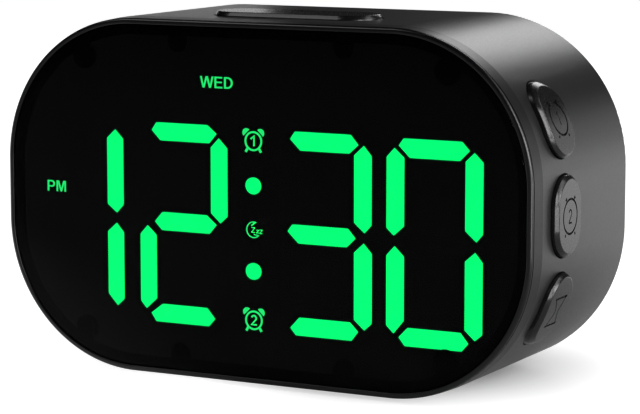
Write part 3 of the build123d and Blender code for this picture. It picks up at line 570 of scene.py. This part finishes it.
def ribbon(points, width, closed=False):
    """Outlines of a flat line of even width: one, or two when its ends meet."""
    edges = ([], [])
    last = len(points) - 1
    for n, point in enumerate(points):
        legs = [(points[n - 1], point)] if n or closed else []
        legs += [(point, points[(n + 1) % (last + 1)])] if n < last or closed else []
        ways = [(Vector(b) - Vector(a)).normalized() for a, b in legs]
        way = sum(ways, Vector((0, 0))).normalized()
        reach = width / 2 / max(way.dot(ways[0]), blunt_corner)
        for side, edge in zip((1, -1), edges):
            edge.append((point[0] - side * reach * way.y, point[1] + side * reach * way.x))
    return list(edges) if closed else [edges[0] + edges[1][::-1]]


def meshed(curve):
    """A curve as a closed mesh."""
    drawn = bpy.data.objects.new(curve.name, curve)
    bpy.context.scene.collection.objects.link(drawn)
    select_only(drawn)
    bpy.ops.object.convert(target="MESH")
    drawn = bpy.context.object
    with editing(drawn):
        bpy.ops.mesh.select_all(action="SELECT")
        bpy.ops.mesh.remove_doubles(threshold=merge_gap)
        bpy.ops.mesh.normals_make_consistent(inside=False)
    return drawn


# Side buttons: a bevelled head with its engraved sign, a flange behind the wall and a stem

round_steps = 96
button_length = 19.0 * mm
button_width = 14.3 * mm
button_row_y = -10.95 * mm
button_pitch = 22.7 * mm
button_proud = 1.7 * mm
button_edge_run = 0.9 * mm
button_edge_drop = 0.85 * mm
button_rim = 0.16 * mm
flange_face = -2.65 * mm
flange_back = -3.85 * mm
flange_middle = (flange_face + flange_back) / 2
flange_reach = 0.9 * mm
button_strip = 0.41 * mm
rod_sides = 24
stem_radius = 1.9 * mm
stem_foot_x = 61.4 * mm
groove_width = 0.55 * mm
thin_groove = 0.4 * mm
groove_depth = 0.6 * mm
cutter_lift = 0.03 * mm


def slot_block(length, width, low, high):
    """Block with half-round ends, its long way on Y, between two heights."""
    bpy.ops.mesh.primitive_cylinder_add(vertices=round_steps, radius=width / 2, depth=high - low,
                                        location=(0, 0, (low + high) / 2), rotation=(0, 0, pi / round_steps))
    block = settle(bpy.context.object)
    with editing(block):
        for end in (-1, 1):
            pick_points(block, lambda place: end * place.y > 0)
            bpy.ops.transform.translate(value=(0, end * (length - width) / 2, 0))
    return block


def bevelled_head(length, width, low, high, run, drop, rim):
    """Slot-shaped head with a sloping edge round its top, whose two rims are slightly rounded."""
    head = slot_block(length, width, low, high - drop)
    with editing(head):
        pick_faces(head, lambda middle, normal: normal.z > nearly_along)
        bpy.ops.mesh.inset(thickness=run, depth=drop)
        pick_edges(head, lambda a, b: min(a.z, b.z) > high - drop - rim and abs(a.z - b.z) < merge_gap)
        bpy.ops.mesh.bevel(offset=rim, segments=3, affect="EDGES")
    return head


def flanged_head(length, width, proud, run, drop):
    """Bevelled head with the wider flange that holds it behind the wall."""
    head = bevelled_head(length, width, flange_middle, proud, run, drop, button_rim)
    flange = slot_block(length + 2 * flange_reach, width + 2 * flange_reach, flange_back, flange_face)
    combine(head, flange, "UNION")
    return head


def slice_across(block, length, strip):
    """Cuts a block across at even steps, so that it can follow a curve."""
    count = ceil(length / strip)
    with editing(block):
        for n in range(1, count):
            bpy.ops.mesh.select_all(action="SELECT")
            bpy.ops.mesh.bisect(plane_co=(0, length * (n / count - 0.5), 0), plane_no=(0, 1, 0),
                                threshold=merge_gap)


def engrave(head, strokes, surface, depth):
    """Cuts round-bottomed grooves along strokes into a head's top surface."""
    for points, width, closed in strokes:
        cutter = stroke(points, width, closed)
        cutter.scale.z = 2 * depth / width
        cutter.location.z = surface + cutter_lift
        combine(head, settle(cutter), "DIFFERENCE")


def side_rise(arc):
    """Height above the clock's middle of a point that lies an arc length up its rounded side."""
    if abs(arc) <= corner_rise:
        return arc
    turn = (abs(arc) - corner_rise) / corner_radius
    return (corner_rise + corner_radius * sin(turn)) * (1 if arc > 0 else -1)


def side_x(out, round_rise):
    """How far from the clock's middle the rounded side lies, or a point that stands out from it."""
    return corner_x + sqrt((corner_radius + out) ** 2 - round_rise ** 2)


def lay_on_side(piece, arc, side):
    """Lays a flat piece on the rounded side: its X runs along the clock's depth, its Y up the side."""
    for point in piece.data.vertices:
        across, up, out = point.co
        rise = side_rise(arc + up)
        round_rise = max(abs(rise) - corner_rise, 0) if arc else 0
        point.co = (side * side_x(out, round_rise), button_row_y + side * across, mid_z + rise)


def side_button(name, body, node, arc, side, strokes):
    """One side button; side is 1 for the right of the clock and -1 for its left."""
    head = flanged_head(button_length, button_width, button_proud, button_edge_run, button_edge_drop)
    if arc:
        slice_across(head, button_length + 2 * flange_reach, button_strip)
    engrave(head, strokes, button_proud, groove_depth)
    lay_on_side(head, arc, side)
    rise = side_rise(arc)
    stem_end_x = side_x(flange_middle, max(abs(rise) - corner_rise, 0))
    stem_place = (side * (stem_foot_x + stem_end_x) / 2, button_row_y, mid_z + rise)
    bpy.ops.mesh.primitive_cylinder_add(vertices=rod_sides, radius=stem_radius,
                                        depth=stem_end_x - stem_foot_x, location=stem_place,
                                        rotation=(0, radians(90), 0))
    combine(head, settle(bpy.context.object), "UNION")
    dress(head, name, body, "button_plastic", button_abs, node)


alarm_ring_radius = 4.0 * mm
set_ring_radius = 3.4 * mm
bell_width = 0.75 * mm
bar_width = 0.6 * mm
cross_reach = 2.6 * mm


def ring(radius):
    """Groove round a circle."""
    return arc_points((0, 0), radius, 0, 360, 64)[:-1], groove_width, True


def ringing_clock():
    """Sign of an alarm: a ring with two bells and two feet."""
    marks = [ring(alarm_ring_radius)]
    for s in (-1, 1):
        marks.append(([(s * 2.75 * mm, 3.75 * mm), (s * 2.2 * mm, 4.35 * mm)], bell_width, False))
        marks.append(([(s * 2.6 * mm, -3.9 * mm), (s * 2.95 * mm, -4.5 * mm)], bar_width, False))
    return marks


def figure_one():
    """The figure 1 inside the ring: a short slope and an upright."""
    return [([(-0.5 * mm, 1.0 * mm), (0.2 * mm, 1.6 * mm), (0.2 * mm, -1.6 * mm)], thin_groove, False)]


def figure_two():
    """The figure 2 inside the ring: a bow with its slope, and a foot."""
    bow = arc_points((0, 0.7 * mm), 0.8 * mm, 165, -25, 10)
    return [(bow + [(-0.75 * mm, -1.35 * mm)], thin_groove, False),
            ([(-0.85 * mm, -1.5 * mm), (0.95 * mm, -1.5 * mm)], thin_groove, False)]


def hourglass():
    """Sign of the timer: two bars and a glass with a narrow neck."""
    marks = [([(-3.3 * mm, s * 3.6 * mm), (3.3 * mm, s * 3.6 * mm)], groove_width, False) for s in (-1, 1)]
    for s in (-1, 1):
        side = [(2.7, 3.5), (0.95, 0.5), (0.95, -0.5), (2.7, -3.5)]
        marks.append(([(s * x * mm, y * mm) for x, y in side], thin_groove, False))
    return marks


def cross_bars(*directions):
    """Sign of plus or minus: one bar for each direction."""
    return [([(-cross_reach * x, -cross_reach * y), (cross_reach * x, cross_reach * y)], bar_width, False)
            for x, y in directions]


def clock_hands():
    """Sign for setting the time: a ring with two hands."""
    return [ring(set_ring_radius),
            ([(0, 2.2 * mm), (0, 0), (1.5 * mm, -0.9 * mm)], groove_width, False)]


side_button("alarm_one_cap", "alarm_one", "alarm_one_button", button_pitch, 1,
            ringing_clock() + figure_one())
side_button("alarm_two_cap", "alarm_two", "alarm_two_button", 0, 1, ringing_clock() + figure_two())
side_button("timer_cap", "timer", "timer_button", -button_pitch, 1, hourglass())
side_button("plus_cap", "plus", "plus_button", button_pitch, -1, cross_bars((1, 0), (0, 1)))
side_button("set_cap", "time_set", "set_button", 0, -1, clock_hands())
side_button("minus_cap", "minus", "minus_button", -button_pitch, -1, cross_bars((1, 0)))


# Snooze bar

snooze_length = 43.4 * mm
snooze_width = 15.4 * mm
snooze_row_y = -7.85 * mm
snooze_proud = 1.1 * mm
snooze_edge_run = 0.7 * mm
snooze_edge_drop = 0.95 * mm
snooze_foot_z = 82.0 * mm
snooze_pin_x = 16.0 * mm
snooze_pin_radius = 1.6 * mm
snooze_pin_foot_z = 74.7 * mm
z_line = 0.36
z_slant = 1.25
engraved_letters = ((-4.6, 2.4, 1.7, 2.0), (-2.7, 3.4, 1.4, 1.6), (-1.1, 4.2, 1.2, 1.3))


def sides_of(x, y, width, height):
    """Left, right, low and high sides of a letter's box, from its middle and size."""
    return x - width / 2, x + width / 2, y - height / 2, y + height / 2


def letter_z(*box):
    """Outline of a Z in mm, whose strokes are as wide as its line."""
    left, right, low, high = sides_of(*box)
    inner_left, inner_right = left + z_slant * z_line, right - z_slant * z_line
    return [(left, high), (right, high), (right, high - z_line), (inner_left, low + z_line),
            (right, low + z_line), (right, low), (left, low), (left, low + z_line),
            (inner_right, high - z_line), (left, high - z_line)]


def snooze_bar():
    """Long bar with the sign of sleep engraved in it."""
    bar = flanged_head(snooze_length, snooze_width, snooze_proud, snooze_edge_run, snooze_edge_drop)
    bar.rotation_euler.z = radians(-90)
    settle(bar)
    marks = [(arc_points((-6.6 * mm, 1.8 * mm), 2.2 * mm, 75, 310), groove_width, False),
             (arc_points((-5.3 * mm, 2.4 * mm), 1.75 * mm, 100, 285), thin_groove, False)]
    engrave(bar, marks, snooze_proud, groove_depth)
    for box in engraved_letters:
        cutter = plate([letter_z(*box)], 2 * groove_depth / mm)
        cutter.scale = (mm, mm, mm)
        cutter.location.z = snooze_proud + cutter_lift
        combine(bar, settle(cutter), "DIFFERENCE")
    bar.location = (0, snooze_row_y, body_top)
    settle(bar)
    posts = [(0, stem_radius, snooze_foot_z)]
    posts += [(s * snooze_pin_x, snooze_pin_radius, snooze_pin_foot_z) for s in (-1, 1)]
    head_z = body_top + flange_middle
    for x, radius, foot_z in posts:
        bpy.ops.mesh.primitive_cylinder_add(vertices=rod_sides, radius=radius, depth=head_z - foot_z,
                                            location=(x, snooze_row_y, (foot_z + head_z) / 2))
        combine(bar, bpy.context.object, "UNION")
    with editing(bar):
        bpy.ops.mesh.select_all(action="SELECT")
        bpy.ops.mesh.remove_doubles(threshold=merge_gap)
        bpy.ops.mesh.dissolve_degenerate(threshold=merge_gap)
        bpy.ops.mesh.fill_holes(sides=0)
    dress(bar, "snooze_cap", "snooze", "button_plastic", button_abs, "snooze_bar")


snooze_bar()


# Lit faces of the display: thin plates on the windows, drawn flat in millimetres

legend_thickness = 0.1 * mm
refraction_shift = 0.38 * mm
thin_line = 0.19
moon_line = 0.26
lit_ring_radius, lit_ring_line = 2.13, 0.45
bell_away, bell_radius, bell_lean = 2.68, 1.05, 44
lit_foot_line = 0.6
lit_figure_line = 0.4
lit_letters = ((-0.12, -0.05, 0.9, 1.15), (1.08, -0.35, 0.68, 0.66), (1.98, -0.35, 0.7, 0.84))
dot_x, dot_heights = -2.2, (4.3, -16.0)
dot_across, dot_up = 2.1, 2.0
cap_height = 716
# Each capital: how far it moves the pen, and its outlines, with the capitals 716 high
capitals = {
    "W": (944, [[(182, 0), (5, 716), (128, 716), (248, 185), (402, 716), (553, 716), (702, 185), (820, 716),
                 (946, 716), (766, 0), (636, 0), (476, 560), (314, 0)]]),
    "E": (667, [[(73, 0), (73, 716), (604, 716), (604, 618), (192, 618), (192, 418), (577, 418), (577, 325),
                 (192, 325), (192, 98), (617, 98), (617, 0)]]),
    "D": (722, [[(72, 0), (72, 716)] + oval_points((330, 358), 343, 358, 90, -90, 18),
                [(192, 98), (192, 618)] + oval_points((318, 358), 230, 260, 90, -90, 14)]),
    "P": (667, [[(73, 0), (73, 716)] + oval_points((400, 493), 222, 223, 90, -90, 16)
                + [(192, 270), (192, 0)],
                [(192, 368), (192, 618)] + oval_points((380, 493), 122, 125, 90, -90, 12)]),
    "M": (833, [[(71, 0), (71, 716), (258, 716), (417, 200), (575, 716), (762, 716), (762, 0), (652, 0),
                 (652, 590), (470, 0), (363, 0), (181, 590), (181, 0)]]),
}
# Corners of each lit bar in millimetres, across and up from the middle of the display
lit_bar_corners = (
    ((-42.5, 13.5), (-40.2, 15.7), (-38.0, 13.5), (-38.0, -2.5), (-39.9, -4.5), (-42.5, -2.5)),
    ((-42.5, -9.2), (-40.0, -7.0), (-38.0, -9.2), (-38.0, -25.5), (-39.9, -27.2), (-42.5, -24.4)),
    ((-29.9, 16.1), (-28.6, 18.0), (-14.6, 18.0), (-12.1, 16.0), (-14.1, 13.7), (-27.5, 13.7)),
    ((-13.7, 12.7), (-11.5, 15.0), (-9.2, 12.7), (-9.2, -3.5), (-11.1, -5.2), (-13.7, -2.9)),
    ((-29.2, -5.9), (-27.1, -3.5), (-14.9, -3.5), (-12.2, -5.7), (-14.1, -7.9), (-27.2, -7.9)),
    ((-33.3, -9.2), (-31.3, -7.0), (-28.8, -9.2), (-28.8, -24.6), (-31.7, -27.2), (-33.3, -25.5)),
    ((-30.4, -28.2), (-27.2, -25.8), (-14.9, -25.8), (-12.7, -28.3), (-14.4, -30.2), (-29.0, -30.2)),
    ((7.6, 15.9), (8.9, 17.7), (23.4, 17.7), (25.4, 15.4), (23.0, 13.3), (10.3, 13.3)),
    ((6.9, -5.8), (8.2, -4.1), (22.7, -4.1), (24.7, -6.3), (22.4, -8.5), (9.8, -8.5)),
    ((7.6, -28.6), (10.0, -26.0), (23.3, -26.0), (25.4, -28.1), (23.7, -30.3), (9.1, -30.3)),
    ((24.3, 13.0), (26.8, 15.3), (28.8, 13.0), (28.8, -3.0), (27.0, -4.9), (24.3, -2.6)),
    ((24.3, -9.6), (26.8, -7.3), (28.9, -9.6), (28.9, -25.9), (27.0, -27.6), (24.3, -25.3)),
    ((32.6, 13.1), (34.6, 15.3), (37.1, 13.1), (37.1, -2.6), (34.5, -4.9), (32.6, -3.2)),
    ((32.6, -9.6), (34.7, -7.3), (37.1, -9.6), (37.1, -24.5), (34.5, -27.6), (32.6, -25.8)),
    ((35.7, 15.9), (36.9, 17.6), (51.5, 17.6), (53.4, 15.6), (51.0, 13.2), (38.5, 13.2)),
    ((35.8, -28.4), (38.1, -26.0), (51.4, -26.0), (53.4, -28.4), (51.7, -30.3), (37.4, -30.3)),
    ((52.4, 13.1), (54.6, 15.2), (56.8, 13.1), (56.8, -3.2), (55.2, -5.0), (52.4, -2.6)),
    ((52.4, -9.6), (54.9, -7.4), (56.8, -9.6), (56.8, -26.1), (55.0, -27.6), (52.4, -25.3)),
)


def place_on_windows(pieces, name, finish, x, z):
    """Stands a flat drawing in millimetres on the front of the windows, thin and facing the front."""
    legend = join(pieces)
    with editing(legend):
        bpy.ops.mesh.select_all(action="SELECT")
        bpy.ops.mesh.normals_make_consistent(inside=False)
    legend.scale = (mm, mm, mm)
    legend.rotation_euler.x = radians(90)
    legend.location = (x, window_y - legend_thickness / 2, mid_z + z)
    settle(legend)
    dress(legend, name, "root", "lit_diffuser", finish)


def lettering(words, width, height):
    """Bold capitals of an overall width and height in millimetres, flat and centred."""
    pen = 0
    letters = []
    for letter in words:
        advance, outlines = capitals[letter]
        letters.append([[(pen + x, y) for x, y in outline] for outline in outlines])
        pen += advance
    across = [x for outlines in letters for outline in outlines for x, y in outline]
    left, span = min(across), max(across) - min(across)
    return [plate([[((x - left - span / 2) * width / span, (y / cap_height - 0.5) * height)
                    for x, y in outline] for outline in outlines]) for outlines in letters]


def lit_alarm_sign(name, z, figure):
    """Ringing clock with its figure, as the display shows it."""
    circle = arc_points((0, 0), lit_ring_radius, 0, 360, 48)[:-1]
    shapes = [plate(ribbon(circle, lit_ring_line, True))]
    for s in (-1, 1):
        tilt = 90 - s * bell_lean
        centre = (bell_away * cos(radians(tilt)), bell_away * sin(radians(tilt)))
        shapes.append(plate([arc_points(centre, bell_radius, tilt - 90, tilt + 90, 16)]))
        shapes.append(plate(ribbon([(s * 1.55, -1.75), (s * 2.05, -2.6)], lit_foot_line)))
    shapes.append(plate(ribbon(figure, lit_figure_line)))
    place_on_windows(shapes, name, legend_ps, colon_x, z)


def lit_sleep_sign(z):
    """Moon with a broken inner edge and three letters Z."""
    moon = [(-0.6, 0.95)] + arc_points((0, 0), 1.85, 71, 316, 36) + [(0.05, -1.1)]
    shapes = [plate(ribbon(moon, moon_line))]
    for box in lit_letters:
        left, right, low, high = sides_of(*box)
        points = [(left, high), (right, high), (left, low), (right, low)]
        shapes += [plate(ribbon(points[n:n + 2], thin_line)) for n in range(3)]
    place_on_windows(shapes, "sleep_legend", legend_ps, colon_x, z)


small_one = [(-0.72, 0.5), (0.17, 1.15), (0.17, -1.2)]
small_two = arc_points((0, 0.5), 0.62, 165, -25, 8) + [(-0.6, -1.05), (0.75, -1.05)]
lit_alarm_sign("alarm_one_legend", 14.85 * mm, small_one)
lit_alarm_sign("alarm_two_legend", -27.7 * mm, small_two)
lit_sleep_sign(-6.1 * mm)
place_on_windows(lettering("WED", 8.85, 2.7), "weekday_legend", legend_ps, -11.7 * mm, 28.2 * mm)
place_on_windows(lettering("PM", 5.3, 2.65), "half_day_legend", legend_ps, -56.8 * mm, 0.95 * mm)
place_on_windows([plate([corners]) for corners in lit_bar_corners], "lit_bar_faces", lit_ps,
                 refraction_shift, 0)
place_on_windows([plate([oval_points((dot_x, z), dot_across, dot_up, 0, 360, 48)[:-1]])
                  for z in dot_heights], "colon_dot_faces", lit_ps, refraction_shift, 0)


# Bezel: a clean rounded bead on the solid's own neck and skirt

bead_front_y = -28.35 * mm
bead_inset = 0.25 * mm
bead_width = 1.3 * mm
bead_radius = 0.65 * mm
bead_inner_radius = 0.12 * mm
bead_steps = 288


def from_outline(place):
    """How far a point lies from the spine that the clock's rounded outline is drawn round."""
    return sqrt(max(abs(place.x) - corner_x, 0) ** 2 + max(abs(place.y) - corner_rise, 0) ** 2)


def bezel():
    """Bead swept round the clock's outline, joined to the part of the solid behind it."""
    depth = bead_back_y - bead_front_y
    bpy.ops.mesh.primitive_cylinder_add(vertices=bead_steps, radius=corner_radius - bead_inset, depth=depth,
                                        location=(0, 0, depth / 2), rotation=(0, 0, pi / bead_steps))
    bead = settle(bpy.context.object)
    with editing(bead):
        for end in (-1, 1):
            pick_points(bead, lambda place: end * place.x > 0)
            bpy.ops.transform.translate(value=(end * corner_x, 0, 0))
            pick_points(bead, lambda place: end * place.y > 0)
            bpy.ops.transform.translate(value=(0, end * corner_rise, 0))
        pick_faces(bead, lambda middle, normal: abs(normal.z) > nearly_along)
        bpy.ops.mesh.inset(thickness=bead_width, depth=0)
        bpy.ops.mesh.bridge_edge_loops()
        middle = corner_radius - bead_inset - bead_width / 2
        for outer, radius, segments in ((True, bead_radius, 8), (False, bead_inner_radius, 3)):
            pick_edges(bead, lambda a, b: min(a.z, b.z) > depth - merge_gap
                       and (from_outline(a) > middle) == outer and (from_outline(b) > middle) == outer)
            bpy.ops.mesh.bevel(offset=radius, segments=segments, affect="EDGES")
    bead.rotation_euler.x = radians(90)
    bead.location = (0, bead_back_y, mid_z)
    settle(bead)
    body = bpy.data.objects.new("neck", nodes["front_frame"].data.copy())
    bpy.context.scene.collection.objects.link(body)
    with editing(body):
        bpy.ops.mesh.select_all(action="SELECT")
        bpy.ops.mesh.remove_doubles(threshold=merge_gap)
        bpy.ops.mesh.bisect(plane_co=(0, bead_back_y, 0), plane_no=(0, 1, 0), threshold=merge_gap,
                            use_fill=True, clear_inner=True)
    dress(join([bead, body]), "bezel", "root", "frame_plastic", frame_abs, "front_frame")


bezel()


# Case screws in the wells of the rear cover

screw_x = 48.17 * mm
screw_rise = 33.29 * mm
screw_places = [(sx * screw_x, mid_z + sz * screw_rise) for sx in (-1, 1) for sz in (-1, 1)]
screw_seat_y = 25.95 * mm
screw_tip_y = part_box("case_screws")[0][1]
screw_head_radius = 2.6 * mm
screw_head_height = 1.5 * mm
screw_dome = 0.6 * mm
screw_shank_radius = 1.3 * mm
recess_length = 2.9 * mm
recess_width = 0.75 * mm
recess_depth = 0.95 * mm


def case_screws():
    """Pan-head screws with a cross recess, modelled once standing up and copied to the four posts."""
    bpy.ops.mesh.primitive_cylinder_add(vertices=48, radius=screw_head_radius, depth=screw_head_height,
                                        location=(0, 0, screw_head_height / 2))
    screw = settle(bpy.context.object)
    with editing(screw):
        pick_edges(screw, lambda a, b: min(a.z, b.z) > screw_head_height - merge_gap)
        bpy.ops.mesh.bevel(offset=screw_dome, segments=5, affect="EDGES")
    shank = screw_seat_y - screw_tip_y
    bpy.ops.mesh.primitive_cylinder_add(vertices=32, radius=screw_shank_radius, depth=shank + merge_gap,
                                        location=(0, 0, -shank / 2))
    combine(screw, settle(bpy.context.object), "UNION")
    for length, width in ((recess_length, recess_width), (recess_width, recess_length)):
        bpy.ops.mesh.primitive_cube_add(size=1, location=(0, 0, screw_head_height))
        bpy.context.object.scale = (length, width, 2 * recess_depth)
        combine(screw, settle(bpy.context.object), "DIFFERENCE")
    screw.rotation_euler.x = radians(-90)
    screw.location.y = screw_seat_y
    settle(screw)
    copies = []
    for x, z in screw_places:
        copy = screw.copy()
        copy.data = screw.data.copy()
        bpy.context.scene.collection.objects.link(copy)
        copy.location = (x, 0, z)
        copies.append(settle(copy))
    bpy.data.objects.remove(screw)
    dress(join(copies), "case_screw_set", "root", "screw_steel", black_steel, "case_screws")


case_screws()


# Finishes of the solids

nodes_in = {
    shell_abs: ("main_shell", "rear_cover", "battery_door"),
    frame_abs: ("front_frame",),
    lens_acrylic: ("front_lens",),
    button_abs: ("snooze_bar", "alarm_one_button", "alarm_two_button", "timer_button", "plus_button",
                 "set_button", "minus_button", "dimmer_knob"),
    reflector_ps: ("display_reflector",),
    painted_dark_ps: ("unlit_bars", "day_lights", "mode_lights", "lit_bars", "colon_dots"),
    board_fr4: ("display_board", "snooze_board", "right_board", "left_board", "power_board"),
    led_package: ("segment_leds",),
    chip_epoxy: ("controller_chip",),
    nickel_can: ("quartz_crystal",),
    coin_steel: ("backup_battery",),
    spring_bronze: ("battery_contacts",),
    black_steel: ("display_screws", "button_board_screws", "case_screws", "power_board_screws"),
    black_nylon: ("snooze_switch", "right_switches", "left_switches", "dimmer_switch"),
    inlet_finish: ("power_inlet",),
    speaker_finish: ("speaker",),
    natural_nylon: ("board_headers",),
    foot_rubber: ("rubber_feet",),
    upright_ribbon: ("right_ribbon", "left_ribbon"),
    level_ribbon: ("snooze_ribbon", "power_ribbon"),
}
for finish, names in nodes_in.items():
    for name in names:
        nodes[name].data.materials.clear()
        nodes[name].data.materials.append(finish)
